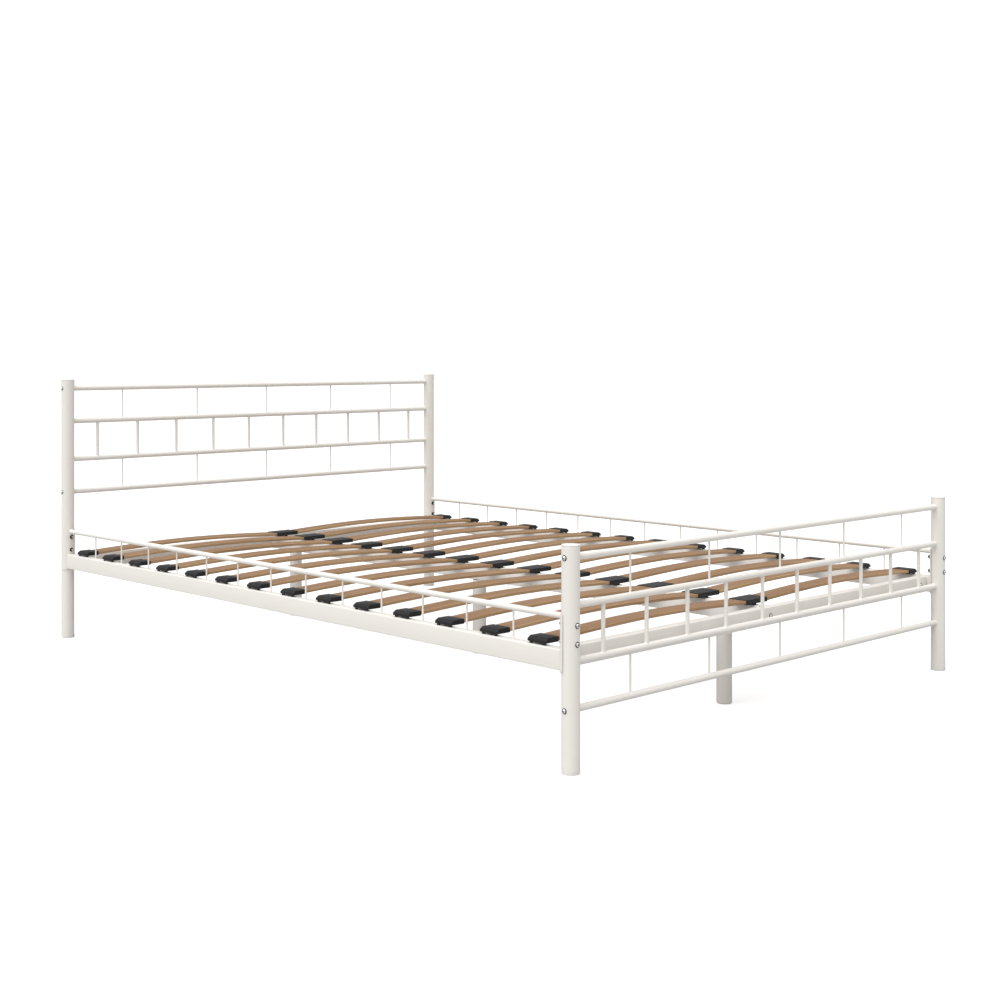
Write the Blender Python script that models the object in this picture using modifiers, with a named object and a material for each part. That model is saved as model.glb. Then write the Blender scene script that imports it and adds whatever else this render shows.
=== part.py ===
"""Metal double bed frame: a low foot panel and a tall head panel of welded bars, two side frames with
a guard rail, cross-beams, a centre beam on three legs, and two columns of sprung slats in holders.
Metres, +Z up, +Y from the foot to the head. The origin is on the floor under the middle of the frame."""

import math

import bmesh
import bpy
from mathutils import Matrix

# Overall: distances between post axes, and post heights.
WIDTH = 1.44
LENGTH = 2.055
FOOT_HEIGHT = 0.464
HEAD_HEIGHT = 0.769
GAP = 0.0003  # clearance between pieces that touch
LAP = 0.0005  # how far joined shapes run into each other

# Posts, with a flat cap above and a glide below.
POST_D = 0.038
POST_WALL = 0.0015
CAP_H = 0.003
GLIDE_H = 0.005
PLUG_H = 0.014
PLUG_WALL = 0.002
RIM = 0.0006  # small chamfer on caps and glides
POST_SIDES = 32

# End panels: four rails hung below the post top, and the rods between them.
RAIL_D = 0.015
RAIL_WALL = 0.0012
RAIL_DROPS = (0.0265, 0.1245, 0.238, 0.335)
THIN_D = 0.0046
THIN_COUNT = 5
THIN_PITCH = 0.1862 * WIDTH
BAR_D = 0.009
BAR_COUNT = 10
BAR_PITCH = 0.0959 * WIDTH

# Side frames: beam, guard tube with upright rods, and saddle plates round the posts.
BEAM_TOP = 0.2495
BEAM_H = 0.042
BEAM_W = 0.025
BEAM_WALL = 0.0015
BEAM_CORNER = 0.002
GUARD_Z = 0.3165
GUARD_D = 0.013
GUARD_ROD_D = 0.0042
SADDLE_T = 0.0018
SADDLE_OUT = math.radians(80)  # how far round the post it reaches, outwards and inwards
SADDLE_IN = math.radians(60)
SADDLE_BOTTOM = 0.2045
SADDLE_CORNER = 0.006
DRAIN_D = 0.008
DRAIN_IN = 0.05  # drain hole, inwards from the post axes

# Bolts: button heads outside the posts and the cross-beams, nut plates in the rails, nuts on the saddles.
BOLT_HEIGHTS = (0.263, 0.301)
BOLT_D = 0.006
HOLE_D = 0.007
BOLT_HEAD_D = 0.0124
BOLT_HEAD_H = 0.0034
NUT_D = 0.0116
NUT_H = 0.0088
PLATE_T = 0.005
PLATE_DEPTH = 0.010
CROSS_BOLT_IN = 0.03  # end bolt, inwards from the end of the cross-beam

# Middle of the base.
CROSS_IN = 0.0405  # cross-beam axis, inwards from the post axes
TONGUE = 0.008  # how far the plate at each end runs on past the tube, to the side beam
TONGUE_LAP = 0.02
TONGUE_T = 0.003
TONGUE_H = 0.034
LEG_D = 0.038
LEG_IN = 0.1635  # outer leg axis, inwards from the post axes
LEG_ROUND = 0.004
LEG_FLOOR = 0.006

# Slats: two columns, each slat fused with its two end holders.
SLAT_ROWS = 14
SLAT_PITCH = 0.07 * LENGTH
SLAT_W = 0.050
SLAT_T = 0.008
SLAT_RISE = 0.010
SLAT_FACETS = 9
HOLDER_W = 0.054
HOLDER_H = 0.0115
HOLDER_DEPTH = 0.040
HOLDER_EDGE = 0.002
HOLDER_OUT = 0.005  # how far the side holder reaches outwards from the post plane
HOLDER_GRIP = 0.036  # how much of the slat's end is inside the holder
STUD_H = 0.0035
STUD_W = 0.008
STUD_AT = 0.019
MIDDLE_HALF_GAP = 0.001

POST_R = POST_D / 2
RAIL_R = RAIL_D / 2
GUARD_R = GUARD_D / 2
SADDLE_R = POST_R + GAP + SADDLE_T
BEAM_Z = BEAM_TOP - BEAM_H / 2
HALF_X = WIDTH / 2
HALF_Y = LENGTH / 2
ENDS = (("foot", -HALF_Y, FOOT_HEIGHT), ("head", HALF_Y, HEAD_HEIGHT))
SIDES = (("left", -HALF_X), ("right", HALF_X))

ALONG = {
    "X": Matrix.Rotation(math.pi / 2, 4, "Y"),
    "Y": Matrix.Rotation(-math.pi / 2, 4, "X"),
    "Z": Matrix.Identity(4),
}

for old in list(bpy.data.objects):
    bpy.data.objects.remove(old, do_unlink=True)

PARTS = bpy.data.collections.new("metal_bed_frame")
HELPERS = bpy.data.collections.new("helpers")
for home in (PARTS, HELPERS):
    bpy.context.scene.collection.children.link(home)
HELPERS.hide_render = True


def helper(name, bm):
    """A hidden object with this mesh: a cutter, or a shape that parts are made from."""
    mesh = bpy.data.meshes.new(name)
    bm.to_mesh(mesh)
    bm.free()
    obj = bpy.data.objects.new(name, mesh)
    obj.display_type = "WIRE"
    obj.hide_render = True
    HELPERS.objects.link(obj)
    return obj


def hollow(obj, wall):
    """Gives an open surface a wall on its inner side."""
    shell = obj.modifiers.new("wall", "SOLIDIFY")
    shell.thickness = wall
    shell.offset = -1
    shell.use_even_offset = True
    return obj


def rod(name, diameter, low, high, axis="Z", sides=8, at=(0, 0, 0), tip=None):
    """A solid round bar from low to high along an axis through at. A tip is its diameter at the high end."""
    bm = bmesh.new()
    top = diameter if tip is None else tip
    middle = Matrix.Translation((0, 0, (low + high) / 2))
    place = Matrix.Translation(at) @ ALONG[axis] @ middle
    bmesh.ops.create_cone(
        bm, cap_ends=True, segments=sides, radius1=diameter / 2, radius2=top / 2,
        depth=high - low, matrix=place,
    )
    return helper(name, bm)


def tube(name, diameter, wall, length, axis="Z", sides=16):
    """A round tube, open at both ends and centred on the origin."""
    bm = bmesh.new()
    bmesh.ops.create_cone(
        bm, cap_ends=False, segments=sides, radius1=diameter / 2, radius2=diameter / 2,
        depth=length, matrix=ALONG[axis],
    )
    return hollow(helper(name, bm), wall)


def block_mesh(x, y, z):
    """A box from its (low, high) along each axis."""
    bm = bmesh.new()
    spans = (x, y, z)
    size = Matrix.Diagonal([high - low for low, high in spans] + [1])
    middle = Matrix.Translation([(high + low) / 2 for low, high in spans])
    bmesh.ops.create_cube(bm, size=1, matrix=middle @ size)
    return bm


def block(name, x, y, z):
    return helper(name, block_mesh(x, y, z))


def beam_tube(name, length, axis="Y"):
    """A length of rectangular tube with rounded long edges, open at both ends and centred on the origin."""
    half = length / 2
    bm = block_mesh((-BEAM_W / 2, BEAM_W / 2), (-half, half), (-BEAM_H / 2, BEAM_H / 2))
    ends = [f for f in bm.faces if abs(f.normal.y) > 0.5]
    bmesh.ops.delete(bm, geom=ends, context="FACES_ONLY")
    long_edges = [e for e in bm.edges if abs(e.verts[0].co.y - e.verts[1].co.y) > half]
    bmesh.ops.bevel(bm, geom=long_edges, offset=BEAM_CORNER, segments=1, affect="EDGES")
    if axis == "X":
        bm.transform(Matrix.Rotation(-math.pi / 2, 4, "Z"))
    return hollow(helper(name, bm), BEAM_WALL)


def turned(name, profile, sides):
    """A (radius, z) profile from the axis, down the outer side and back to the axis, turned about Z."""
    bm = bmesh.new()
    points = [bm.verts.new((radius, 0, z)) for radius, z in profile]
    for start, stop in zip(points, points[1:]):
        bm.edges.new((start, stop))
    obj = helper(name, bm)
    screw = obj.modifiers.new("turn", "SCREW")
    screw.steps = screw.render_steps = sides
    screw.use_merge_vertices = True
    screw.merge_threshold = 0.00005
    return obj


def combine(obj, others, operation):
    for other in others:
        step = obj.modifiers.new(other.name, "BOOLEAN")
        step.operation = operation
        step.object = other


def finished(obj, colour, roughness, metallic=0.0):
    """The helper's final mesh, shaded smooth where it is round, with a material of its own."""
    bpy.context.view_layer.update()
    graph = bpy.context.evaluated_depsgraph_get()
    mesh = bpy.data.meshes.new_from_object(obj.evaluated_get(graph))
    mesh.shade_smooth()
    mesh.set_sharp_from_angle(angle=math.radians(40))
    material = bpy.data.materials.new(obj.name)
    material.use_nodes = True
    shader = material.node_tree.nodes["Principled BSDF"]
    shader.inputs["Base Color"].default_value = colour
    shader.inputs["Roughness"].default_value = roughness
    shader.inputs["Metallic"].default_value = metallic
    mesh.materials.clear()
    mesh.materials.append(material)
    return mesh


def coated(obj):
    return finished(obj, (0.80, 0.77, 0.73, 1.0), 0.4)


def part(name, mesh, at, turn=(0, 0, 0)):
    obj = bpy.data.objects.new(name, mesh)
    obj.location = at
    obj.rotation_euler = turn
    PARTS.objects.link(obj)


def centred(count, pitch):
    return [(k - (count - 1) / 2) * pitch for k in range(count)]


def posts():
    top = coated(plug("cap", CAP_H))
    base = coated(plug("glide", GLIDE_H))
    for end, y, height in ENDS:
        length = height - CAP_H - GLIDE_H - 2 * GAP
        middle = GLIDE_H + GAP + length / 2
        shell = tube(f"post_{end}", POST_D, POST_WALL, length, sides=POST_SIDES)
        holes = []
        for axis, heights in (
            ("X", (height - RAIL_DROPS[0], height - RAIL_DROPS[-1])),
            ("Y", BOLT_HEIGHTS),
        ):
            for z in heights:
                name = f"post_hole_{end}_{axis}_{z:.3f}"
                holes.append(rod(name, HOLE_D, -POST_D, POST_D, axis, 12, (0, 0, z - middle)))
        combine(shell, holes, "DIFFERENCE")
        mesh = coated(shell)
        for side, x in SIDES:
            part(f"post_{end}_{side}", mesh, (x, y, middle))
            part(f"cap_{end}_{side}", top, (x, y, height - CAP_H))
            part(f"glide_{end}_{side}", base, (x, y, GLIDE_H), (math.pi, 0, 0))


def plug(name, thickness):
    """A disc as wide as the post, from z = 0 up, over a hollow plug that fits inside the tube."""
    grip = POST_R - POST_WALL - GAP
    profile = [
        (0, thickness),
        (POST_R - RIM, thickness),
        (POST_R, thickness - RIM),
        (POST_R, 0),
        (grip, 0),
        (grip, -PLUG_H),
        (grip - PLUG_WALL, -PLUG_H),
        (grip - PLUG_WALL, 0),
        (0, 0),
    ]
    return turned(name, profile, POST_SIDES)


def button_head(name, at, axis, way):
    """A low domed bolt head standing on at, facing along the axis or against it."""
    low, high, base, tip = 0, BOLT_HEAD_H, BOLT_HEAD_D, BOLT_HEAD_D * 0.6
    if way < 0:
        low, high, base, tip = -high, -low, tip, base
    return rod(name, base, low, high, axis, 12, at, tip)


def end_panels():
    """One set of rails, used for the foot panel and, lifted, for the head panel."""
    clear = [
        rod(f"post_room_{side}", 2 * (POST_R + GAP), -1, 1, sides=48, at=(x, 0, 0))
        for side, x in SIDES
    ]
    thin = (THIN_D, centred(THIN_COUNT, THIN_PITCH), LAP - 0.0001)
    bars = (BAR_D, centred(BAR_COUNT, BAR_PITCH), -2 * LAP)
    for row, filling in enumerate((thin, bars, thin, None)):
        rail = tube(f"panel_rail_{row + 1}", RAIL_D, RAIL_WALL, WIDTH - POST_R, "X")
        if filling:
            diameter, places, sink = filling
            top = -(RAIL_R - RAIL_WALL + sink)
            low = RAIL_DROPS[row] - RAIL_DROPS[row + 1] + RAIL_R + GAP
            rods = [
                rod(f"rod_{row}_{k}", diameter, low, top, at=(x, 0, 0))
                for k, x in enumerate(places)
            ]
            combine(rail, rods, "UNION")
        combine(rail, clear, "DIFFERENCE")
        if row in (0, 3):
            combine(rail, panel_bolts(row), "UNION")
        mesh = coated(rail)
        for end, y, height in ENDS:
            part(f"{end}_rail_{row + 1}", mesh, (0, y, height - RAIL_DROPS[row]))


def panel_bolts(row):
    """For both ends of a rail: a nut plate across its bore, and a bolt that ends in a head outside the post."""
    pieces = []
    bore_r = RAIL_R - RAIL_WALL + LAP
    for side, x in SIDES:
        way = math.copysign(1, x)
        seat = x + way * (POST_R + GAP)
        plate = x - way * (POST_R + 2 * GAP + 2 * LAP)
        span = sorted((plate, plate - way * PLATE_DEPTH))
        shank = sorted((seat + way * LAP, plate - way * PLATE_DEPTH / 2))
        pieces.append(
            block(f"nut_plate_{row}_{side}", span, (-PLATE_T / 2, PLATE_T / 2), (-bore_r, bore_r))
        )
        pieces.append(rod(f"shank_{row}_{side}", BOLT_D, *shank, axis="X"))
        pieces.append(button_head(f"head_{row}_{side}", (seat, 0, 0), "X", way))
    return pieces


def saddle(name, y, way):
    """A curved plate round the side of a post that faces the middle of the left side."""
    top = GUARD_Z + GUARD_R
    radius = POST_R + GAP + SADDLE_T / 2
    bm = bmesh.new()
    bmesh.ops.create_grid(bm, x_segments=14, y_segments=1, size=1)
    for vert in bm.verts:
        share = (vert.co.x + 1) / 2
        angle = -SADDLE_OUT + (SADDLE_OUT + SADDLE_IN) * share
        # The lower corners are cut back in a curve.
        fade = min(max(0.0, abs(vert.co.x) - 0.7) / 0.3, 1.0)
        low = SADDLE_BOTTOM + SADDLE_CORNER * (1 - math.sqrt(1 - fade**2))
        z = top if vert.co.y > 0 else low
        vert.co = (radius * math.sin(angle), y + way * radius * math.cos(angle), z)
    plate = hollow(helper(name, bm), SADDLE_T)
    plate.modifiers["wall"].offset = 0
    return plate


def side_bolts(way):
    """Two bolts through the foot or head post, with a head outside it and a nut inside the saddle plate."""
    pieces = []
    seat = way * (HALF_Y + POST_R + GAP)
    plate = way * (HALF_Y - SADDLE_R)
    inner = sorted((plate - way * NUT_H, plate + way * SADDLE_T / 2))
    shank = sorted((seat + way * LAP, plate))
    for k, z in enumerate(BOLT_HEIGHTS):
        name = f"side_{way}_{k}"
        pieces.append(rod(f"{name}_shank", BOLT_D, *shank, axis="Y", at=(0, 0, z)))
        pieces.append(rod(f"{name}_nut", NUT_D, *inner, axis="Y", sides=6, at=(0, 0, z)))
        pieces.append(button_head(f"{name}_head", (0, seat, z), "Y", way))
    return pieces


def side_frames():
    weld = POST_R + GAP + SADDLE_T / 2
    room = []
    inside = []
    for end, y, _ in ENDS:
        room.append(rod(f"frame_room_{end}", 2 * weld, -1, 1, sides=48, at=(0, y, 0)))
        inside.append(
            rod(f"saddle_room_{end}", 2 * (SADDLE_R + GAP), -1, 1, sides=48, at=(0, y, 0))
        )
    beam = beam_tube("side_beam", LENGTH - POST_R)
    beam.data.transform(Matrix.Translation((0, 0, BEAM_Z)))
    floor = BEAM_TOP - BEAM_H
    drains = [
        rod(f"drain_{way}", DRAIN_D, floor - 0.004, floor + 0.004, sides=12,
            at=(0, way * (HALF_Y - DRAIN_IN), 0))
        for way in (1, -1)
    ]
    combine(beam, room + drains, "DIFFERENCE")
    combine(beam, [saddle(f"saddle_{way}", -way * HALF_Y, way) for way in (1, -1)], "UNION")
    combine(beam, side_bolts(-1) + side_bolts(1), "UNION")
    beam_mesh = coated(beam)

    guard = tube("guard_rail", GUARD_D, RAIL_WALL, LENGTH - POST_R, "Y")
    low = BEAM_TOP + GAP - GUARD_Z
    top = -(GUARD_R - RAIL_WALL + LAP - 0.0001)
    rods = [
        rod(f"guard_rod_{k}", GUARD_ROD_D, low, top, at=(0, y, 0))
        for k, y in enumerate(centred(SLAT_ROWS - 1, SLAT_PITCH))
    ]
    combine(guard, rods, "UNION")
    combine(guard, inside, "DIFFERENCE")
    guard_mesh = coated(guard)
    for side, x in SIDES:
        turn = (0, 0, math.pi if side == "right" else 0)
        part(f"side_beam_{side}", beam_mesh, (x, 0, 0), turn)
        part(f"guard_rail_{side}", guard_mesh, (x, 0, GUARD_Z), turn)


def base_beams():
    """Cross-beams with a plate at each end, the centre beam between them, and its legs."""
    reach = HALF_X - BEAM_W / 2 - GAP
    cross = beam_tube("cross_beam", 2 * (reach - TONGUE), "X")
    face = -BEAM_W / 2
    pieces = []
    for side in (-1, 1):
        x = sorted((side * reach, side * (reach - TONGUE - TONGUE_LAP)))
        y = (face + GAP, face + GAP + TONGUE_T)
        pieces.append(block(f"tongue_{side}", x, y, (-TONGUE_H / 2, TONGUE_H / 2)))
    for x in (-reach + CROSS_BOLT_IN, 0, reach - CROSS_BOLT_IN):
        head = rod(f"cross_bolt_{x:.3f}", BOLT_HEAD_D, -BOLT_HEAD_H, LAP, "Y", 12, (x, face, 0))
        pieces.append(head)
    combine(cross, pieces, "UNION")
    mesh = coated(cross)
    centre = HALF_Y - CROSS_IN
    part("cross_beam_foot", mesh, (0, -centre, BEAM_Z))
    part("cross_beam_head", mesh, (0, centre, BEAM_Z), (0, 0, math.pi))
    spine = beam_tube("spine", 2 * (centre - BEAM_W / 2 - GAP))
    part("centre_beam", coated(spine), (0, 0, BEAM_Z))
    mesh = coated(leg())
    for name, y in (("foot", LEG_IN - HALF_Y), ("middle", 0.0), ("head", HALF_Y - LEG_IN)):
        part(f"centre_leg_{name}", mesh, (0, y, 0))


def leg():
    """A round tube from the centre beam to the floor, closed below with a rounded lower edge."""
    top = BEAM_TOP - BEAM_H - GAP
    r, bore_r = LEG_D / 2, LEG_D / 2 - POST_WALL
    profile = [(0, LEG_FLOOR), (bore_r, LEG_FLOOR), (bore_r, top), (r, top)]
    for k in range(5):
        angle = math.pi / 2 * k / 4
        drop = LEG_ROUND * (1 - math.sin(angle))
        profile.append((r - LEG_ROUND * (1 - math.cos(angle)), drop))
    return turned("centre_leg", profile + [(0, 0)], POST_SIDES)


def slats():
    """The right-hand slat with its holders, copied along the bed and turned round for the left."""
    near = MIDDLE_HALF_GAP
    far = HALF_X + HOLDER_OUT
    start = near + HOLDER_DEPTH - HOLDER_GRIP
    end = far - HOLDER_DEPTH + HOLDER_GRIP
    floor = BEAM_TOP + GAP + STUD_H
    wide = (-HOLDER_W / 2, HOLDER_W / 2)
    tall = (floor, floor + HOLDER_H)
    low = floor + (HOLDER_H - SLAT_T) / 2

    bm = block_mesh((start, end), (-SLAT_W / 2, SLAT_W / 2), (low, low + SLAT_T))
    lengthways = [e for e in bm.edges if abs(e.verts[0].co.x - e.verts[1].co.x) > SLAT_W]
    bmesh.ops.subdivide_edges(bm, edges=lengthways, cuts=SLAT_FACETS - 1, use_grid_fill=True)
    for vert in bm.verts:
        vert.co.z += SLAT_RISE * math.sin(math.pi * (vert.co.x - start) / (end - start))
    slat = helper("slat", bm)

    pieces = []
    for name, span, feet in (
        ("side", (far - HOLDER_DEPTH, far), (HALF_X - STUD_W / 2, HALF_X + STUD_W / 2)),
        ("middle", (near, near + HOLDER_DEPTH), (near, STUD_W / 2)),
    ):
        bm = block_mesh(span, wide, tall)
        upper = [e for e in bm.edges if max(v.co.z for v in e.verts) > tall[1] - GAP]
        bmesh.ops.bevel(bm, geom=upper, offset=HOLDER_EDGE, segments=1, affect="EDGES")
        pieces.append(helper(f"holder_{name}", bm))
        for side in (-1, 1):
            y = sorted((side * (STUD_AT - STUD_W / 2), side * (STUD_AT + STUD_W / 2)))
            pieces.append(block(f"stud_{name}_{side}", feet, y, (floor - STUD_H, floor + 2 * LAP)))
    combine(slat, pieces, "UNION")
    mesh = finished(slat, (0.50, 0.33, 0.18, 1.0), 0.5)
    for k, y in enumerate(centred(SLAT_ROWS, SLAT_PITCH)):
        part(f"slat_right_{k + 1:02d}", mesh, (0, y, 0))
        part(f"slat_left_{k + 1:02d}", mesh, (0, y, 0), (0, 0, math.pi))


posts()
end_panels()
side_frames()
base_beams()
slats()
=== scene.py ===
"""Looks for the metal double bed frame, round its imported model. Metres, +Z up, +Y to the head end."""

import math

import bmesh
import bpy
from mathutils import Matrix, Vector


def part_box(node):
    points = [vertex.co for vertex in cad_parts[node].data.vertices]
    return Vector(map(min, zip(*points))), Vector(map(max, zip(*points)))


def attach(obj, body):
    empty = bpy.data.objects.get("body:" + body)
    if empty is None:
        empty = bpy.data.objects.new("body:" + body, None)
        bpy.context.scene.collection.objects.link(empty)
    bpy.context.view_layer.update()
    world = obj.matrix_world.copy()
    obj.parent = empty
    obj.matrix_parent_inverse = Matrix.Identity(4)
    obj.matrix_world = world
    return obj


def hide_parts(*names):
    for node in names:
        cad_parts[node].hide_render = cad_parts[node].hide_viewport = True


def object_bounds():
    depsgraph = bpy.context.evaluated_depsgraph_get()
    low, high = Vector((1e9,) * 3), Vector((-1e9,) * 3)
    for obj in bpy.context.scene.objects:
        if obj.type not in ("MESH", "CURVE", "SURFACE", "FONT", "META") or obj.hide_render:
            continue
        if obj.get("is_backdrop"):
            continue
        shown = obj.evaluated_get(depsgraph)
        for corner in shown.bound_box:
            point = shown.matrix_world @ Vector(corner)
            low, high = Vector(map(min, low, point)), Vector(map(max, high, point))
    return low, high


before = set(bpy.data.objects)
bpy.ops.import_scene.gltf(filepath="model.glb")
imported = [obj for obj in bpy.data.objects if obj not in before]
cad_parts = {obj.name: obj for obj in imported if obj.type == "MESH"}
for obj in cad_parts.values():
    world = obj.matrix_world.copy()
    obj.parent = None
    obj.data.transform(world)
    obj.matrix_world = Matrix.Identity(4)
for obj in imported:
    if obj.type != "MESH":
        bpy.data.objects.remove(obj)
cad_low, cad_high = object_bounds()

# Posts: four round steel tubes, two low at the foot and two tall at the head, with a 1.5 mm wall.
# They are sawn square and powder coated in a warm satin cream with the faint
# orange peel that baked powder leaves.
POST_WALL = 0.0015
EDGE = 0.0003
CREAM = (0.81, 0.782, 0.742, 1)
CREAM_WARM = (0.785, 0.752, 0.706, 1)
ENDS = ("foot", "head")
SIDES = ("left", "right")


class Wire:
    """One output in a material's nodes. Arithmetic on it adds Math nodes, so a mask reads as a formula."""

    def __init__(self, tree, socket=None):
        self.tree = tree
        self.socket = socket

    def node(self, kind, settings=None, output=0, **inputs):
        """A new node: its settings first, then the values or links of its inputs.

        A name like in_3 is an input's number, and any other is its label with _ for a space.
        """
        made = self.tree.nodes.new(kind)
        for key, value in (settings or {}).items():
            setattr(made, key, value)
        for key, value in inputs.items():
            socket = made.inputs[int(key[3:]) if key.startswith("in_") else key.replace("_", " ")]
            if isinstance(value, Wire):
                self.tree.links.new(value.socket, socket)
            else:
                socket.default_value = value
        return Wire(self.tree, made.outputs[output])

    def maths(self, operation, first, second=0.0):
        return self.node("ShaderNodeMath", {"operation": operation}, in_0=first, in_1=second)

    def __add__(self, other):
        return self.maths("ADD", self, other)

    def __sub__(self, other):
        return self.maths("SUBTRACT", self, other)

    def __mul__(self, other):
        return self.maths("MULTIPLY", self, other)

    def __mod__(self, other):
        return self.maths("MODULO", self, other)

    def __rsub__(self, other):
        return self.maths("SUBTRACT", other, self)

    def __gt__(self, other):
        return self.maths("GREATER_THAN", self, other)

    def __lt__(self, other):
        return self.maths("LESS_THAN", self, other)

    def __abs__(self):
        return self.maths("ABSOLUTE", self)

    def __round__(self):
        return self.maths("ROUND", self)

    def __floor__(self):
        return self.maths("FLOOR", self)

    __radd__ = __add__
    __rmul__ = __mul__

    def colour(self, off, on):
        """The colour off where this mask is 0, on where it is 1."""
        mix = {"data_type": "RGBA"}
        return self.node("ShaderNodeMix", mix, output=2, in_0=self, in_6=off, in_7=on)

    def vector(self, operation, other):
        return self.node("ShaderNodeVectorMath", {"operation": operation}, in_0=self, in_1=other)

    def noise(self, scale, detail=2.0, roughness=0.5):
        return self.node(
            "ShaderNodeTexNoise", Vector=self, Scale=scale, Detail=detail, Roughness=roughness
        )

    def bump(self, strength, distance):
        """The surface normal that this height gives, with distance in metres."""
        return self.node("ShaderNodeBump", Height=self, Strength=strength, Distance=distance)


def finish(name, **constants):
    """A new material with the shader values that are the same all over it.

    Returns it with the place on the piece, in metres, and a function that feeds what varies.
    """
    material = bpy.data.materials.new(name)
    material.use_nodes = True
    tree = material.node_tree
    shader = tree.nodes["Principled BSDF"]
    for key, value in constants.items():
        shader.inputs[key.replace("_", " ")].default_value = value

    def feed(**varying):
        for key, value in varying.items():
            tree.links.new(value.socket, shader.inputs[key.replace("_", " ")])

    place = Wire(tree).node("ShaderNodeTexCoord", output=3)
    return material, place, feed


powder_coat, place, feed = finish("powder_coat", IOR=1.5)
cloud = place.noise(7.0)
peel = place.noise(520.0, 1.0) * 0.7 + place.noise(1500.0, 1.0) * 0.3
feed(
    Base_Color=cloud.colour(CREAM, CREAM_WARM),
    Roughness=0.32 + cloud * 0.12,
    Normal=peel.bump(0.18, 0.0004),
)


def skinned(name, rings, closed=False, sharp=35.0):
    """A mesh drawn over rings of points, with edges past the sharp angle, in degrees, left crisp.

    A closed set runs back into its first ring. An open one is filled at both ends.
    """
    count = len(rings[0])
    faces = []
    for k in range(len(rings) if closed else len(rings) - 1):
        low, high = k * count, (k + 1) % len(rings) * count
        for j in range(count):
            n = (j + 1) % count
            faces.append((low + j, low + n, high + n, high + j))
    total = len(rings) * count
    if not closed:
        faces.append(tuple(reversed(range(count))))
        faces.append(tuple(range(total - count, total)))
    mesh = bpy.data.meshes.new(name)
    mesh.from_pydata([point for ring in rings for point in ring], [], faces)
    bm = bmesh.new()
    bm.from_mesh(mesh)
    bmesh.ops.recalc_face_normals(bm, faces=bm.faces)
    bm.to_mesh(mesh)
    bm.free()
    mesh.shade_smooth()
    mesh.set_sharp_from_angle(angle=math.radians(sharp))
    return mesh


def turned(name, outline, closed=False, around=72):
    """A (radius, z) outline turned about Z."""
    turns = [2 * math.pi * k / around for k in range(around)]
    rings = [[(r * math.cos(t), r * math.sin(t), z) for t in turns] for r, z in outline]
    return skinned(name, rings, closed)


def fixed(name, mesh, material, slot, place, *nodes):
    """Puts a piece in its place on the frame's one body, where it stands for the named nodes.

    A mesh that already has its materials keeps them.
    """
    if not mesh.materials:
        mesh.materials.append(material)
    piece = bpy.data.objects.new(name, mesh)
    bpy.context.scene.collection.objects.link(piece)
    piece.matrix_world = place
    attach(piece, "root")
    if nodes:
        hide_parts(*nodes)
    return piece


AS_MADE = Matrix.Identity(4)


def at(x, y, z, turn=AS_MADE):
    return Matrix.Translation((x, y, z)) @ turn


post_axis = {}
for end in ENDS:
    low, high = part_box(f"post_{end}_left")
    post_r = (high.x - low.x) / 2
    bore = post_r - POST_WALL
    outline = [
        (bore, low.z + EDGE),
        (bore + EDGE, low.z),
        (post_r - EDGE, low.z),
        (post_r, low.z + EDGE),
        (post_r, high.z - EDGE * 2),
        (post_r - EDGE * 2, high.z),
        (bore + EDGE, high.z),
        (bore, high.z - EDGE),
    ]
    post_mesh = turned(f"{end}_post", outline, closed=True)
    for side in SIDES:
        node = f"post_{end}_{side}"
        low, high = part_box(node)
        post_axis[end, side] = Vector(((low.x + high.x) / 2, (low.y + high.y) / 2, 0))
        fixed(
            f"{end}_{side}_post", post_mesh, powder_coat, "frame_powder_coat",
            at(*post_axis[end, side]), node,
        )

# Caps and glides: moulded plastic discs in the same cream, one on each post top and one under each foot.
# Each has a hollow plug that is pressed into the tube, and a small rounded rim that leaves a fine line
# where it meets the steel.
DISC_T = {"cap": 0.003, "glide": 0.005}
PLUG_WALL = 0.002
PLUG_FIT = 0.0004
PLUG_CORNER = 0.0008
SEAM = 0.0008
RIM = 0.0007
RIM_STEPS = 5
PLASTIC_PALE = (0.81, 0.785, 0.75, 1)
PLASTIC_WARM = (0.785, 0.755, 0.715, 1)

cream_plastic, place, feed = finish("cream_plastic", IOR=1.46)
mottle = place.noise(60.0)
feed(
    Base_Color=mottle.colour(PLASTIC_PALE, PLASTIC_WARM),
    Roughness=0.42 + mottle * 0.1,
    Normal=place.noise(2200.0, 1.0).bump(0.12, 0.0002),
)

UPSIDE_DOWN = Matrix.Rotation(math.pi, 4, "X")
quarter = [math.pi / 2 * k / RIM_STEPS for k in range(RIM_STEPS + 1)]
grip = post_r - POST_WALL - PLUG_FIT
for kind, disc in DISC_T.items():
    low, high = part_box(f"{kind}_foot_left")
    depth = high.z - low.z - disc
    outline = [
        (grip - PLUG_WALL, 0),
        (grip - PLUG_WALL, PLUG_CORNER - depth),
        (grip - PLUG_WALL + PLUG_CORNER, -depth),
        (grip - PLUG_CORNER, -depth),
        (grip, PLUG_CORNER - depth),
        (grip, 0),
        (post_r - SEAM, 0),
        (post_r, SEAM),
    ]
    outline += [
        (post_r - RIM * (1 - math.cos(a)), disc - RIM * (1 - math.sin(a))) for a in quarter
    ]
    plug_mesh = turned(f"{kind}_plug", outline)
    for end in ENDS:
        for side in SIDES:
            node = f"{kind}_{end}_{side}"
            low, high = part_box(node)
            on_top = kind == "cap"
            seat = high.z - disc if on_top else low.z + disc
            turn = AS_MADE if on_top else UPSIDE_DOWN
            x, y, _ = post_axis[end, side]
            fixed(
                f"{end}_{side}_{kind}", plug_mesh, cream_plastic, "cap_plastic",
                at(x, y, seat, turn), node,
            )

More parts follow.
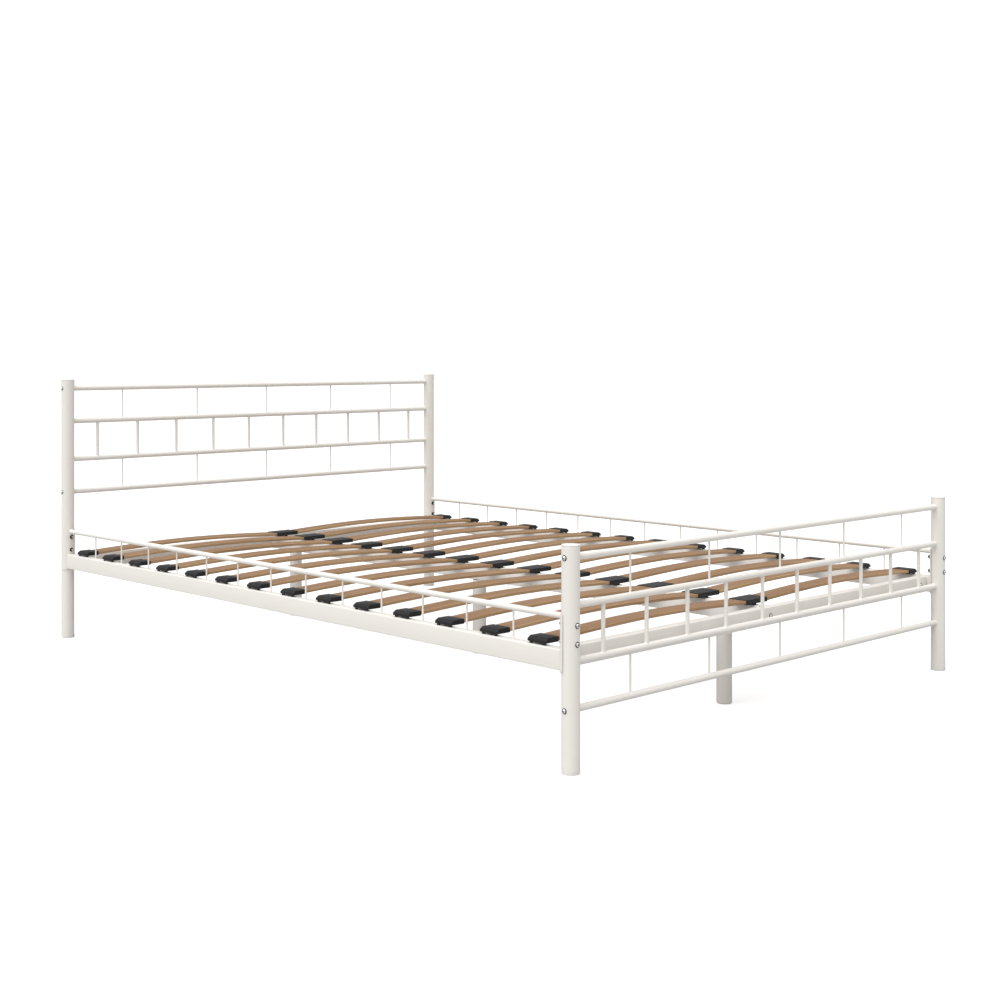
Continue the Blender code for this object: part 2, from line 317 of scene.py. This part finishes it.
# End panels: four round rails run from post to post, sawn to the post's curve at both ends. Thin wire
# rods stand between the first two and the last two, and thicker bars between the middle two. Each rod is
# welded at both ends, and the powder coat rounds every weld to a small fillet.
RAIL_WALL = 0.0012
THIN_COUNT, THIN_R = 5, 0.0023
BAR_COUNT, BAR_R = 10, 0.0045
PITCH_THIN, PITCH_BAR = 0.1862, 0.0959
WELD = 0.0013
WELD_STEPS = 5
SINK = 0.0001
TOUCH = 0.0003
LIE_ALONG_X = Matrix.Rotation(math.pi / 2, 4, "Y")


def coped(name, radius, span, low, high, wall=0.0, weld=0.0, around=48):
    """A round bar along Z whose ends fit crossing tubes that lie along X, at z = 0 and z = span.

    Low and high are the radii of those tubes, and 0 is a flat surface. A wall makes the bar a tube, and
    weld is the radius of the fillets at its ends.
    """

    def ring(reach, crossing, lift, from_top):
        points = []
        for k in range(around):
            t = 2 * math.pi * k / around
            y = reach * math.sin(t)
            rise = math.sqrt(max(crossing**2 - y**2, 0)) + lift
            points.append((reach * math.cos(t), y, span - rise if from_top else rise))
        return points

    flare = [(radius, 0.0)]
    if weld:
        arc = [math.pi / 2 * k / WELD_STEPS for k in range(WELD_STEPS + 1)]
        flare = [
            (radius + weld * (1 - math.cos(a)), weld * (1 - math.sin(a)) - SINK) for a in arc
        ]
    rings = [ring(reach, low, lift, False) for reach, lift in reversed(flare)]
    rings += [ring(reach, high, lift, True) for reach, lift in flare]
    if wall:
        rings += [ring(radius - wall, high, 0, True), ring(radius - wall, low, 0, False)]
    return skinned(name, rings, closed=wall > 0)


def spread(count, pitch):
    """Places that a number of pieces take at a pitch, centred on 0."""
    return [(k - (count - 1) / 2) * pitch for k in range(count)]


left, right = post_axis["foot", "left"].x, post_axis["foot", "right"].x
width = right - left
low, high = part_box("foot_rail_4")
rail_r = (high.z - low.z) / 2
rail_mesh = coped("panel_rail", rail_r, width, post_r + TOUCH, post_r + TOUCH, RAIL_WALL)
rail_z = {}
for end in ENDS:
    y = post_axis[end, "left"].y
    for row in range(1, 5):
        low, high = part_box(f"{end}_rail_{row}")
        rail_z[end, row] = high.z - rail_r
        fixed(
            f"{end}_panel_rail_{row}", rail_mesh, powder_coat, "frame_powder_coat",
            at(left, y, rail_z[end, row], LIE_ALONG_X), f"{end}_rail_{row}",
        )
for row, kind, count, pitch, radius in (
    (1, "thin_rod", THIN_COUNT, PITCH_THIN, THIN_R),
    (2, "bar", BAR_COUNT, PITCH_BAR, BAR_R),
    (3, "thin_rod", THIN_COUNT, PITCH_THIN, THIN_R),
):
    drop = rail_z["foot", row] - rail_z["foot", row + 1]
    rod_mesh = coped(f"panel_{kind}_{row}", radius, drop, rail_r, rail_r, weld=WELD, around=32)
    for end in ENDS:
        y = post_axis[end, "left"].y
        for k, x in enumerate(spread(count, pitch * width)):
            fixed(
                f"{end}_panel_{kind}_{row}_{k + 1}", rod_mesh, powder_coat, "frame_powder_coat",
                at(x, y, rail_z[end, row + 1]),
            )

# Side beams: rectangular steel tube with rounded long edges, one along each side. A curved saddle plate
# is welded across each end and lies round the inner face of the post, and a ripple of weld runs round
# the joint.
BEAM_WALL = 0.0015
BEAM_CORNER = 0.0022
SADDLE_T = 0.0018
PLATE_FIT = 0.0009
SADDLE_OUT = math.radians(80)
SADDLE_IN = math.radians(60)
SADDLE_FOOT = 0.2045
SADDLE_CORNER = 0.006
SADDLE_CORNER_SHARE = 0.3
SADDLE_EDGE = 0.0005
SADDLE_STEPS = 56
BEAD_R = 0.0011
BEAD_STEP = 0.0009
BEAD_RIPPLE = 0.0026
BEAD_SWELL = 0.14
BEAD_AROUND = 10


def rounded(width, height, corner, steps=5):
    """Points round a rectangle whose corners are arcs, anticlockwise from the middle of its right side."""
    points = []
    for quadrant, (sx, sy) in enumerate(((1, 1), (-1, 1), (-1, -1), (1, -1))):
        for k in range(steps + 1):
            t = math.pi / 2 * (quadrant + k / steps)
            points.append(
                (
                    sx * (width / 2 - corner) + corner * math.cos(t),
                    sy * (height / 2 - corner) + corner * math.sin(t),
                )
            )
    return points


def bead(name, path):
    """A rippled ring of weld along a closed path of points."""
    walk = []
    for start, stop in zip(path, path[1:] + path[:1]):
        steps = max(1, round((stop - start).length / BEAD_STEP))
        walk += [start.lerp(stop, k / steps) for k in range(steps)]
    middle = sum(walk, Vector()) / len(walk)
    turns = [2 * math.pi * k / BEAD_AROUND for k in range(BEAD_AROUND)]
    rings = []
    for k, point in enumerate(walk):
        along = (walk[(k + 1) % len(walk)] - walk[k - 1]).normalized()
        out = (point - middle) - along * (point - middle).dot(along)
        out.normalize()
        across = along.cross(out)
        thick = BEAD_R * (1 + BEAD_SWELL * math.sin(2 * math.pi * k * BEAD_STEP / BEAD_RIPPLE))
        rings.append([point + (out * math.cos(t) + across * math.sin(t)) * thick for t in turns])
    return skinned(name, rings, closed=True, sharp=80.0)


beam_low, beam_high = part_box("centre_beam")
beam_w = beam_high.x - beam_low.x
beam_h = beam_high.z - beam_low.z
beam_z = (beam_high.z + beam_low.z) / 2
half_length = (post_axis["head", "left"].y - post_axis["foot", "left"].y) / 2
saddle_in = post_r + PLATE_FIT
saddle_out = saddle_in + SADDLE_T


def beam_end(points, way, cope):
    """The ring of a beam's section where it meets an upright cylinder round the post at that end."""
    return [(u, way * (half_length - math.sqrt(cope**2 - u**2)), v) for u, v in points]


outer = rounded(beam_w, beam_h, BEAM_CORNER)
inner = rounded(beam_w - 2 * BEAM_WALL, beam_h - 2 * BEAM_WALL, BEAM_CORNER - BEAM_WALL)
rings = [beam_end(outer, -1, saddle_out), beam_end(outer, 1, saddle_out)]
rings += [beam_end(inner, 1, saddle_out), beam_end(inner, -1, saddle_out)]
beam_mesh = skinned("side_beam", rings, closed=True)
bead_mesh = bead("beam_weld", [Vector(p) for p in beam_end(outer, -1, saddle_out)])

guard_low, guard_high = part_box("guard_rail_left")
saddle_top = guard_high.z
rings = []
for k in range(SADDLE_STEPS + 1):
    share = k / SADDLE_STEPS
    a = -SADDLE_OUT + (SADDLE_OUT + SADDLE_IN) * share
    fade = min(max(1 - (1 - abs(2 * share - 1)) / SADDLE_CORNER_SHARE, 0), 1)
    cut = SADDLE_CORNER * (1 - math.sqrt(1 - fade**2))
    section = [
        (saddle_in, SADDLE_FOOT + cut),
        (saddle_out, SADDLE_FOOT + cut),
        (saddle_out, saddle_top),
        (saddle_in, saddle_top),
    ]
    rings.append([(r * math.sin(a), r * math.cos(a), z) for r, z in section])
plate_mesh = skinned("saddle_plate", rings)
flipped = [[(x, -y, z) for x, y, z in ring] for ring in rings]
plate_mesh_far = skinned("saddle_plate_far", flipped)


def softened(piece, width):
    """Rounds a piece's sharp edges."""
    bevel = piece.modifiers.new("rounded_edges", "BEVEL")
    bevel.width = width
    bevel.segments = 2
    bevel.limit_method = "ANGLE"
    bevel.angle_limit = math.radians(50)
    bevel.harden_normals = True


HALF_TURN = Matrix.Rotation(math.pi, 4, "Z")
for side in SIDES:
    x = post_axis["foot", side].x
    turn = HALF_TURN if side == "right" else AS_MADE
    fixed(
        f"{side}_beam", beam_mesh, powder_coat, "frame_powder_coat",
        at(x, 0, beam_z, turn), f"side_beam_{side}",
    )
    for end, mesh, way in (("near", plate_mesh, -1), ("far", plate_mesh_far, 1)):
        place = at(x, 0, 0, turn) @ at(0, way * half_length, 0)
        plate = fixed(f"{side}_saddle_{end}", mesh, powder_coat, "frame_powder_coat", place)
        softened(plate, SADDLE_EDGE)
    for end, turn_end in (("near", turn), ("far", turn @ HALF_TURN)):
        fixed(
            f"{side}_beam_weld_{end}", bead_mesh, powder_coat, "frame_powder_coat",
            at(x, 0, beam_z, turn_end),
        )

# Guard rails: a thin round tube runs above each side beam from saddle to saddle and holds the mattress
# in. Thirteen wire rods stand between it and the beam. All of it is welded and coated with the beam.
GUARD_COUNT, GUARD_ROD_R = 13, 0.0021
guard_r = (guard_high.x - guard_low.x) / 2
guard_z = guard_high.z - guard_r
LIE_ALONG_Y = Matrix(((0, 1, 0, 0), (0, 0, 1, 0), (1, 0, 0, 0), (0, 0, 0, 1)))
QUARTER_TURN = Matrix.Rotation(math.pi / 2, 4, "Z")
slat_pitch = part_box("slat_left_03")[0].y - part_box("slat_left_02")[0].y

guard_mesh = coped(
    "guard_tube", guard_r, 2 * half_length, saddle_out, saddle_out, RAIL_WALL, weld=WELD
)
guard_rod_mesh = coped(
    "guard_rod", GUARD_ROD_R, guard_z - beam_high.z, 0, guard_r, weld=WELD, around=32
)
for side in SIDES:
    x = post_axis["foot", side].x
    fixed(
        f"{side}_guard_tube", guard_mesh, powder_coat, "frame_powder_coat",
        at(x, -half_length, guard_z, LIE_ALONG_Y), f"guard_rail_{side}",
    )
    for k, y in enumerate(spread(GUARD_COUNT, slat_pitch)):
        fixed(
            f"{side}_guard_rod_{k + 1}", guard_rod_mesh, powder_coat, "frame_powder_coat",
            at(x, y, beam_high.z, QUARTER_TURN),
        )

# Cross-beams and centre beam: the same rectangular tube as the side beams. Each cross-beam ends in a flat
# tongue that is bolted to the side beam. The centre beam runs between the cross-beams, welded at both ends.
TONGUE_OUT = 0.008
TONGUE_T = 0.003
TONGUE_H = 0.034
TONGUE_LAP = 0.02
TONGUE_INSET = 0.0002
TONGUE_EDGE = 0.0005


def straight_beam(name, length):
    """A length of the beam tube along Y, centred on the origin."""
    rings = []
    for points, y in ((outer, -0.5), (outer, 0.5), (inner, 0.5), (inner, -0.5)):
        rings.append([(u, y * length, v) for u, v in points])
    return skinned(name, rings, closed=True)


def bar_between(name, low, high, edge):
    """A block from its lowest to its highest corner, with rounded edges."""
    bm = bmesh.new()
    bmesh.ops.create_cube(bm, size=1)
    for vert in bm.verts:
        vert.co = [high[k] if vert.co[k] > 0 else low[k] for k in range(3)]
    bmesh.ops.bevel(bm, geom=bm.edges[:], offset=edge, segments=3, affect="EDGES", profile=0.5)
    mesh = bpy.data.meshes.new(name)
    bm.to_mesh(mesh)
    bm.free()
    mesh.shade_smooth()
    mesh.set_sharp_from_angle(angle=math.radians(35))
    return mesh


cross_low, cross_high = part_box("cross_beam_foot")
cross_mesh = straight_beam("cross_beam", cross_high.x - cross_low.x - 2 * TONGUE_OUT)
face = TONGUE_INSET - beam_w / 2
tongue_mesh = bar_between(
    "cross_tongue",
    (cross_high.x - TONGUE_OUT - TONGUE_LAP, face, -TONGUE_H / 2),
    (cross_high.x, face + TONGUE_T, TONGUE_H / 2),
    TONGUE_EDGE,
)
tongue_mesh_left = bar_between(
    "cross_tongue_left",
    (cross_low.x, face, -TONGUE_H / 2),
    (cross_low.x + TONGUE_OUT + TONGUE_LAP, face + TONGUE_T, TONGUE_H / 2),
    TONGUE_EDGE,
)
cross_y = {}
for end in ENDS:
    low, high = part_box(f"cross_beam_{end}")
    cross_y[end] = (low.y + high.y) / 2
    turn = HALF_TURN if end == "head" else AS_MADE
    place = at(0, cross_y[end], beam_z, turn)
    fixed(
        f"{end}_cross_beam", cross_mesh, powder_coat, "frame_powder_coat",
        place @ QUARTER_TURN, f"cross_beam_{end}",
    )
    fixed(f"{end}_cross_tongue_a", tongue_mesh, powder_coat, "frame_powder_coat", place)
    fixed(f"{end}_cross_tongue_b", tongue_mesh_left, powder_coat, "frame_powder_coat", place)
spine_mesh = straight_beam("centre_tube", beam_high.y - beam_low.y)
fixed(
    "centre_tube", spine_mesh, powder_coat, "frame_powder_coat", at(0, 0, beam_z), "centre_beam"
)
spine_bead = bead("centre_weld", [Vector((u, 0, v)) for u, v in outer])
for end, y in (("foot", beam_low.y), ("head", beam_high.y)):
    fixed(f"{end}_centre_weld", spine_bead, powder_coat, "frame_powder_coat", at(0, y, beam_z))

# Centre legs: three stubs of the post tube under the centre beam, closed below by a rounded foot so that
# the lower edge is soft.
LEG_ROUND = 0.004
LEG_SHELL = 0.0015
LEG_FLOOR = 0.006

for spot in ("foot", "middle", "head"):
    low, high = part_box(f"centre_leg_{spot}")
    leg_r = (high.x - low.x) / 2
    outline = [
        (leg_r - LEG_ROUND * (1 - math.sin(a)), LEG_ROUND * (1 - math.cos(a))) for a in quarter
    ]
    outline += [
        (leg_r, high.z - EDGE),
        (leg_r - EDGE, high.z),
        (leg_r - LEG_SHELL, high.z),
        (leg_r - LEG_SHELL, LEG_FLOOR),
    ]
    leg_mesh = turned(f"centre_leg_{spot}", outline)
    fixed(
        f"{spot}_centre_leg", leg_mesh, powder_coat, "frame_powder_coat",
        at((low.x + high.x) / 2, (low.y + high.y) / 2, 0), f"centre_leg_{spot}",
    )

# Bolts: button heads of zinc-plated steel with a hexagon socket, each on a thin dark washer. Each post
# takes one into each outer rail of its panel and two that go through to dark nuts on the saddle plate.
# Three more hold each cross-beam.
HEAD_R = 0.0045
HEAD_H = 0.0032
HEAD_FOOT = 0.0003
DOME_STEPS = 6
DOME_START = 0.08
DOME_LOW = 0.15
SOCKET_R = 0.0021
SOCKET_DEEP = 0.0024
SOCKET_CONE = 0.0006
SOCKET_EDGE = 0.0001
WASHER_R = 0.0062
WASHER_T = 0.0006
WASHER_EDGE = 0.0002
NUT_R = 0.0058
NUT_H = 0.0050
NUT_BEVEL_LOW = 0.0004
NUT_BEVEL_HIGH = 0.0006
TIP_R = 0.0029
TIP_H = 0.0086
TIP_ROUND = 0.0008
SEAT = 0.0004
SIDE_BOLT_HEIGHTS = (0.263, 0.301)
CROSS_BOLT_IN = 0.03
ZINC_PALE = (0.80, 0.80, 0.80, 1)
ZINC_GREY = (0.68, 0.69, 0.70, 1)
OXIDE_BLACK = (0.008, 0.008, 0.009, 1)
OXIDE_WORN = (0.018, 0.017, 0.019, 1)

zinc, place, feed = finish("zinc_plate", Metallic=1.0)
bloom = place.noise(420.0)
feed(
    Base_Color=bloom.colour(ZINC_PALE, ZINC_GREY),
    Roughness=0.24 + bloom * 0.16,
    Normal=place.noise(3000.0, 1.0).bump(0.1, 0.0001),
)
black_steel, place, feed = finish("black_oxide", Metallic=0.3, IOR=1.5)
bloom = place.noise(500.0)
feed(
    Base_Color=bloom.colour(OXIDE_BLACK, OXIDE_WORN),
    Roughness=0.38 + bloom * 0.2,
    Normal=place.noise(2600.0, 1.0).bump(0.12, 0.0001),
)


def shaped(name, outline, around=48):
    """An outline of (radius, z, six) turned about Z.

    Where six is true, the ring is a hexagon with its corners at that radius.
    """
    rings = []
    for radius, z, six in outline:
        ring = []
        for k in range(around):
            t = 2 * math.pi * k / around
            reach = radius
            if six:
                reach = radius * math.cos(math.pi / 6) / math.cos(t % (math.pi / 3) - math.pi / 6)
            ring.append((reach * math.cos(t), reach * math.sin(t), z))
        rings.append(ring)
    return skinned(name, rings, sharp=40.0)


head_outline = [(HEAD_R * 0.96, 0, False), (HEAD_R, HEAD_FOOT, False)]
for k in range(DOME_STEPS + 1):
    t = math.pi / 2 * (DOME_START + (1 - DOME_START) * k / DOME_STEPS)
    reach = HEAD_R * math.cos(t)
    if reach > SOCKET_R * 1.12:
        head_outline.append((reach, HEAD_H * (DOME_LOW + (1 - DOME_LOW) * math.sin(t)), False))
head_outline += [
    (SOCKET_R * 1.10, HEAD_H, False),
    (SOCKET_R * 1.02, HEAD_H, True),
    (SOCKET_R, HEAD_H - SOCKET_EDGE, True),
    (SOCKET_R, HEAD_H - SOCKET_DEEP, True),
    (SOCKET_R * 0.3, HEAD_H - SOCKET_DEEP - SOCKET_CONE, False),
]
head_mesh = shaped("bolt_head", head_outline)
head_mesh.materials.append(zinc)
head_mesh.materials.append(black_steel)
# The lower half of each socket takes the black oxide finish: this is painted shade deep in the recess,
# since the zinc plating runs into the socket.
for polygon in head_mesh.polygons:
    x, y, z = polygon.center
    polygon.material_index = int(math.hypot(x, y) < SOCKET_R and z < HEAD_H - SOCKET_DEEP / 2)
washer_outline = [
    (SOCKET_R, 0),
    (WASHER_R - WASHER_EDGE, 0),
    (WASHER_R, WASHER_EDGE),
    (WASHER_R, WASHER_T - WASHER_EDGE),
    (WASHER_R - WASHER_EDGE, WASHER_T),
    (SOCKET_R, WASHER_T),
]
washer_mesh = turned("bolt_washer", washer_outline, closed=True, around=48)
nut_outline = [
    (NUT_R * 0.93, 0, False),
    (NUT_R, NUT_BEVEL_LOW, True),
    (NUT_R, NUT_H - NUT_BEVEL_HIGH, True),
    (NUT_R * 0.86, NUT_H, False),
    (TIP_R, NUT_H, False),
]
nut_mesh = shaped("bolt_nut", nut_outline)
tip_outline = [
    (TIP_R, NUT_H - SINK),
    (TIP_R, TIP_H - TIP_ROUND),
    (TIP_R - TIP_ROUND / 4, TIP_H - 3 * TIP_ROUND / 8),
    (TIP_R - TIP_ROUND, TIP_H),
]
tip_mesh = turned("bolt_tip", tip_outline, around=32)


def facing(point, out):
    """A place at a point with its Z along the way out."""
    return Matrix.Translation(point) @ out.to_track_quat("Z", "Y").to_matrix().to_4x4()


def bolted(name, point, out):
    """A bolt head on its washer at a point on a surface, facing out."""
    place = facing(point, out)
    fixed(f"{name}_washer", washer_mesh, black_steel, "bolt_steel", place)
    fixed(f"{name}_head", head_mesh, zinc, "bolt_steel", place @ at(0, 0, WASHER_T))


for (end, side), axis in post_axis.items():
    sideways = Vector((math.copysign(1, axis.x), 0, 0))
    endways = Vector((0, math.copysign(1, axis.y), 0))
    for row in (1, 4):
        height = Vector((0, 0, rail_z[end, row]))
        point = axis + height + sideways * (post_r - SEAT)
        bolted(f"{end}_{side}_panel_bolt_{row}", point, sideways)
    for k, z in enumerate(SIDE_BOLT_HEIGHTS):
        height = Vector((0, 0, z))
        name = f"{end}_{side}_side_bolt_{k + 1}"
        bolted(name, axis + height + endways * (post_r - SEAT), endways)
        place = facing(axis + height - endways * (saddle_out - SEAT / 2), -endways)
        fixed(f"{name}_nut", nut_mesh, black_steel, "bolt_steel", place)
        fixed(f"{name}_tip", tip_mesh, zinc, "bolt_steel", place)
for end in ENDS:
    outward = Vector((0, -1 if end == "foot" else 1, 0))
    for k, x in enumerate((cross_low.x + CROSS_BOLT_IN, 0.0, cross_high.x - CROSS_BOLT_IN)):
        point = Vector((x, cross_y[end], beam_z)) + outward * (beam_w / 2)
        bolted(f"{end}_cross_bolt_{k + 1}", point, outward)

# Slat holders: black nylon caps pushed over the slat ends. An outer holder stands on the side beam by two
# round pegs that plug into it, and slopes down at its closed end. A double one joins two slats over the
# centre beam. Their fine spark-eroded grain is matt.
HOLDER_W = 0.054
HOLDER_H = 0.0115
HOLDER_DEPTH = 0.040
HOLDER_EDGE = 0.0024
HOLDER_WALL = 0.0016
DOUBLE_WEB = 0.001
POCKET_DEEP = 0.030
POCKET_CORNER = 0.001
MOUTH_EDGE = 0.0006
MOUTH_IN = 0.0005
MOUTH_PLAY = 0.0004
PEG_H = 0.0035
PEG_UP = 0.0008
PEG_R = 0.004
PEG_ROUND = 0.0006
PEG_AT = 0.019
NYLON_BLACK = (0.007, 0.007, 0.008, 1)
NYLON_WORN = (0.015, 0.015, 0.017, 1)

black_nylon, place, feed = finish("black_nylon", IOR=1.36)
scuff = place.noise(90.0, 3.0)
feed(
    Base_Color=scuff.colour(NYLON_BLACK, NYLON_WORN),
    Roughness=0.42 + scuff * 0.2,
    Normal=place.noise(1900.0, 1.0).bump(0.25, 0.0003),
)
holder_floor = beam_high.z + TOUCH + PEG_H
holder_z = holder_floor + HOLDER_H / 2


def sleeve_ring(x, width, height, corner):
    """A rounded ring across the slat's length at x."""
    return [(x, u, v) for u, v in rounded(width, height, corner, 4)]


def pocket(mouth, way):
    """Rings of the pocket that takes the slat, from the outer edge of its mouth inwards."""
    slot_w, slot_h = HOLDER_W - 2 * HOLDER_WALL, HOLDER_H - 2 * HOLDER_WALL
    return [
        sleeve_ring(mouth - way * MOUTH_EDGE, HOLDER_W, HOLDER_H, HOLDER_EDGE),
        sleeve_ring(mouth, HOLDER_W - 2 * MOUTH_IN, HOLDER_H - 2 * MOUTH_IN, HOLDER_EDGE),
        sleeve_ring(mouth, slot_w + MOUTH_PLAY, slot_h + MOUTH_PLAY, POCKET_CORNER),
        sleeve_ring(mouth - way * POCKET_DEEP, slot_w, slot_h, POCKET_CORNER),
    ]


# The closed end, ring by ring: how far back it is, how much narrower on each side, how much lower on top,
# and its corner radius.
closed_end = []
for back, inset, drop, corner in (
    (0.0, 0.0014, 0.0066, 0.0012),
    (0.0004, 0.0006, 0.0056, 0.0018),
    (0.0014, 0.0, 0.0046, HOLDER_EDGE),
    (0.0075, 0.0, 0.0006, HOLDER_EDGE),
    (0.0092, 0.0, 0.0, HOLDER_EDGE),
):
    ring = sleeve_ring(HOLDER_DEPTH - back, HOLDER_W - 2 * inset, HOLDER_H - drop - inset, corner)
    closed_end.append([(x, u, v - (drop - inset) / 2) for x, u, v in ring])
outer_holder_mesh = skinned("slat_holder", closed_end + pocket(0, -1))
double_reach = DOUBLE_WEB + HOLDER_DEPTH
double_holder_mesh = skinned(
    "double_slat_holder", pocket(-double_reach, -1)[::-1] + pocket(double_reach, 1)
)
peg_outline = [
    (PEG_R - PEG_ROUND, -PEG_H),
    (PEG_R - PEG_ROUND * 0.3, PEG_ROUND * 0.3 - PEG_H),
    (PEG_R, PEG_ROUND - PEG_H),
    (PEG_R, PEG_UP),
]
peg_mesh = turned("holder_peg", peg_outline, around=32)

# Slats: two columns of fourteen, each glued up from thin beech veneers and pressed to a shallow arch that
# springs under the mattress. The long edges are rounded over and show the plies.
SLAT_W = 0.050
SLAT_T = 0.008
SLAT_EDGE = 0.0018
SLAT_PLAY = 0.001
SLAT_STEPS = 40
SLAT_ROWS = 14
PLIES = 6
GLUE_LINE = 0.07
GLUE_BROWN = (0.17, 0.085, 0.038, 1)
LACQUER_PALE = (0.60, 0.40, 0.215, 1)
LACQUER_DARK = (0.34, 0.185, 0.080, 1)
PORE = (0.22, 0.115, 0.050, 1)

_, slat_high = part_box("slat_right_01")
slat_rise = slat_high.z - holder_z - SLAT_T / 2
mouth_near, mouth_far = double_reach, slat_high.x - HOLDER_DEPTH
slat_start = mouth_near - POCKET_DEEP + SLAT_PLAY
slat_stop = mouth_far + POCKET_DEEP - SLAT_PLAY


def arch(x):
    """How far the slat has risen at x, between the mouths of its holders."""
    share = min(max((x - mouth_near) / (mouth_far - mouth_near), 0), 1)
    return slat_rise * math.sin(math.pi * share)


beech, place, feed = finish("lacquered_beech", IOR=1.5)
own = place.node("ShaderNodeObjectInfo", output=5)
shift = place.node("ShaderNodeCombineXYZ", X=own * 7.0, Y=own * 3.0, Z=own * 5.0)
moved = place.vector("ADD", shift)
figure = moved.vector("MULTIPLY", (1.6, 34.0, 34.0)).noise(1.0, 4.0, 0.6)
fibre = moved.vector("MULTIPLY", (9.0, 620.0, 620.0)).noise(1.0, 3.0, 0.6)
flecks = moved.vector("MULTIPLY", (55.0, 900.0, 900.0)).noise(1.0, 1.0) > 0.69
grain = (figure - 0.5) * 2.2 + (fibre - 0.5) * 1.2 + 0.5
wood = grain.colour(LACQUER_PALE, LACQUER_DARK)
level = place.node("ShaderNodeAttribute", {"attribute_name": "ply"}, output=2)
glue = abs(level - round(level)) < GLUE_LINE
turned_ply = math.floor(level) % 2.0
open_pores = (flecks * 0.6).colour(wood, PORE)
feed(
    Base_Color=(glue * 0.75 + turned_ply * 0.22).colour(open_pores, GLUE_BROWN),
    Roughness=0.34 + fibre * 0.2 + glue * 0.2,
    Normal=(fibre * 0.8 - flecks * 0.5 - glue * 0.6).bump(0.22, 0.0003),
)

span = mouth_far - mouth_near
xs = [slat_start] + [mouth_near + span * k / SLAT_STEPS for k in range(SLAT_STEPS + 1)] + [slat_stop]
section = rounded(SLAT_W, SLAT_T, SLAT_EDGE, 4)
slat_mesh = skinned("bent_slat", [[(x, u, arch(x) + v) for u, v in section] for x in xs])
ply = slat_mesh.attributes.new("ply", "FLOAT", "POINT")
ply.data.foreach_set("value", [(v / SLAT_T + 0.5) * PLIES for _ in xs for _, v in section])
for row in range(1, SLAT_ROWS + 1):
    low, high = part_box(f"slat_right_{row:02d}")
    y = (low.y + high.y) / 2
    for side in SIDES:
        turn = HALF_TURN if side == "left" else AS_MADE
        stem = f"{side}_{row:02d}"
        base = at(0, y, holder_z, turn)
        fixed(f"slat_{stem}", slat_mesh, beech, "slat_wood", base, f"slat_{stem}")
        holder_at = base @ at(mouth_far, 0, 0)
        fixed(f"holder_{stem}", outer_holder_mesh, black_nylon, "holder_plastic", holder_at)
        for k, offset in enumerate((-PEG_AT, PEG_AT)):
            place = base @ at(right, offset, -HOLDER_H / 2)
            fixed(f"holder_peg_{stem}_{k + 1}", peg_mesh, black_nylon, "holder_plastic", place)
    fixed(
        f"double_holder_{row:02d}", double_holder_mesh, black_nylon, "holder_plastic",
        at(0, y, holder_z),
    )
    for k, offset in enumerate((-PEG_AT, PEG_AT)):
        place = at(0, y + offset, holder_floor)
        fixed(f"double_holder_peg_{row:02d}_{k + 1}", peg_mesh, black_nylon, "holder_plastic", place)

# Studio: a plain pale floor, an even white surround, one broad soft key light from high on the left, and
# the camera in front of the foot end, to the left of the bed.
FLOOR_HALF = 30.0
FLOOR_LIFT = 0.62
FLOOR_PALE = (0.46, 0.46, 0.46, 1)
FLOOR_DULL = (0.44, 0.44, 0.44, 1)
BLACK = (0, 0, 0, 1)
WHITE = (1, 1, 1, 1)
SURROUND_WHITE = (1.0, 0.995, 0.985, 1)
SURROUND_LIGHT = 0.62
BACKDROP_LIGHT = 1.05
KEY_LIGHT = 3.05
KEY_SPREAD = math.radians(70)
KEY_FROM = Vector((-0.40, -0.06, 0.915))
CAMERA_AT = (-2.981, -3.1435, 0.857)
CAMERA_TURN = -0.7723
CAMERA_LENS = 55.02
CAMERA_SHIFT = -0.1499

floor_finish, place, feed = finish("studio_floor", Roughness=0.9, Emission_Strength=FLOOR_LIFT)
camera_ray = place.node("ShaderNodeLightPath")
feed(
    Base_Color=place.noise(0.6).colour(FLOOR_PALE, FLOOR_DULL),
    Emission_Color=camera_ray.colour(BLACK, WHITE),
)
floor_mesh = bpy.data.meshes.new("floor")
corners = [(-1, -1), (1, -1), (1, 1), (-1, 1)]
points = [(x * FLOOR_HALF, y * FLOOR_HALF, 0) for x, y in corners]
floor_mesh.from_pydata(points, [], [(0, 1, 2, 3)])
floor_mesh.materials.append(floor_finish)
floor = bpy.data.objects.new("floor", floor_mesh)
bpy.context.scene.collection.objects.link(floor)
floor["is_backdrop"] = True

world = bpy.data.worlds.new("studio")
world.use_nodes = True
tree = world.node_tree
surround = tree.nodes["Background"]
surround.inputs["Color"].default_value = SURROUND_WHITE
surround.inputs["Strength"].default_value = SURROUND_LIGHT
sky = Wire(tree, surround.outputs["Background"])
backdrop = sky.node("ShaderNodeBackground", Color=WHITE, Strength=BACKDROP_LIGHT)
camera_ray = sky.node("ShaderNodeLightPath")
either = sky.node("ShaderNodeMixShader", in_0=camera_ray, in_1=sky, in_2=backdrop)
tree.links.new(either.socket, tree.nodes["World Output"].inputs["Surface"])
bpy.context.scene.world = world

sun_data = bpy.data.lights.new("key_light", "SUN")
sun_data.energy = KEY_LIGHT
sun_data.angle = KEY_SPREAD
sun = bpy.data.objects.new("key_light", sun_data)
bpy.context.scene.collection.objects.link(sun)
sun.rotation_euler = KEY_FROM.to_track_quat("Z", "Y").to_euler()

camera_data = bpy.data.cameras.new("camera")
camera_data.lens = CAMERA_LENS
camera_data.shift_y = CAMERA_SHIFT
camera = bpy.data.objects.new("camera", camera_data)
bpy.context.scene.collection.objects.link(camera)
camera.location = CAMERA_AT
camera.rotation_euler = (math.pi / 2, 0, CAMERA_TURN)
bpy.context.scene.camera = camera
bpy.context.scene.view_settings.view_transform = "Standard"

low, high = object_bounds()
{"cad": [list(cad_low), list(cad_high)], "visual": [list(low), list(high)]}
